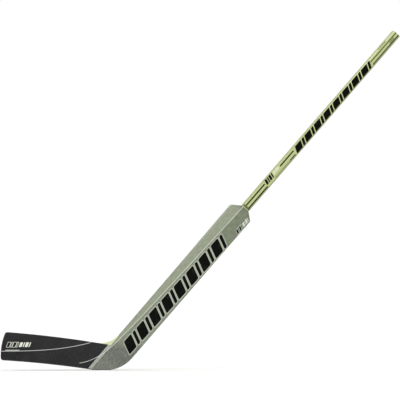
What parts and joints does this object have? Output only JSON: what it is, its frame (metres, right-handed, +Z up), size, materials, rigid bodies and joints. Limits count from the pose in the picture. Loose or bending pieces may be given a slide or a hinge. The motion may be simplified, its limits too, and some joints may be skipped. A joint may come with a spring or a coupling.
{
  "type": "ice hockey goaltender stick",
  "caption": "Goaltender's ice hockey stick: slim laminated wood shaft, wide flat paddle with a fibreglass face, and a tall blade with a slight toe curve.",
  "frame": {"origin": "on the flat of the heel, the patch the stick stands on in its playing position", "axes": "+Z up from the floor, the shaft rises towards +X, the blade's toe points to -X, the front face looks towards -Y"},
  "size_m": [1.2999, 0.0257, 1.0863],
  "materials": {
    "core_wood": "bare, shows at the narrow faces and the butt",
    "veneer_wood": "pale birch veneer under clear lamina",
    "clear_lamina": "thin clear fibreglass, satin, with printed stripes and bars",
    "rail_wood": "pale, clear coated",
    "block_wood": "pale, clear coated",
    "foam": "closed-cell foam, sealed inside",
    "paddle_glass": "woven fibreglass, grey painted, satin",
    "wedge_wood": "bare pale wood",
    "plank_wood": "stained and painted black at the edges",
    "blade_glass": "black woven fibreglass, satin",
    "wear_plastic": "black, scuffed"
  },
  "bodies": {
    "root": {"shaft_core": "core_wood", "shaft_front_veneer": "veneer_wood", "shaft_rear_veneer": "veneer_wood", "shaft_front_lamina": "clear_lamina", "shaft_rear_lamina": "clear_lamina", "toe_edge_rail": "rail_wood", "heel_edge_rail": "rail_wood", "toe_foam_core": "foam", "heel_foam_core": "foam", "toe_shoulder_block": "block_wood", "heel_shoulder_block": "block_wood", "heel_block": "block_wood", "crotch_wedge": "wedge_wood", "heel_wear_plate": "wear_plastic", "paddle_front_skin": "paddle_glass", "paddle_rear_skin": "paddle_glass", "blade_lower_plank": "plank_wood", "blade_middle_plank": "plank_wood", "blade_upper_plank": "plank_wood", "blade_sole_strip": "wear_plastic", "blade_front_skin": "blade_glass", "blade_rear_skin": "blade_glass"}
  },
  "joints": []
}
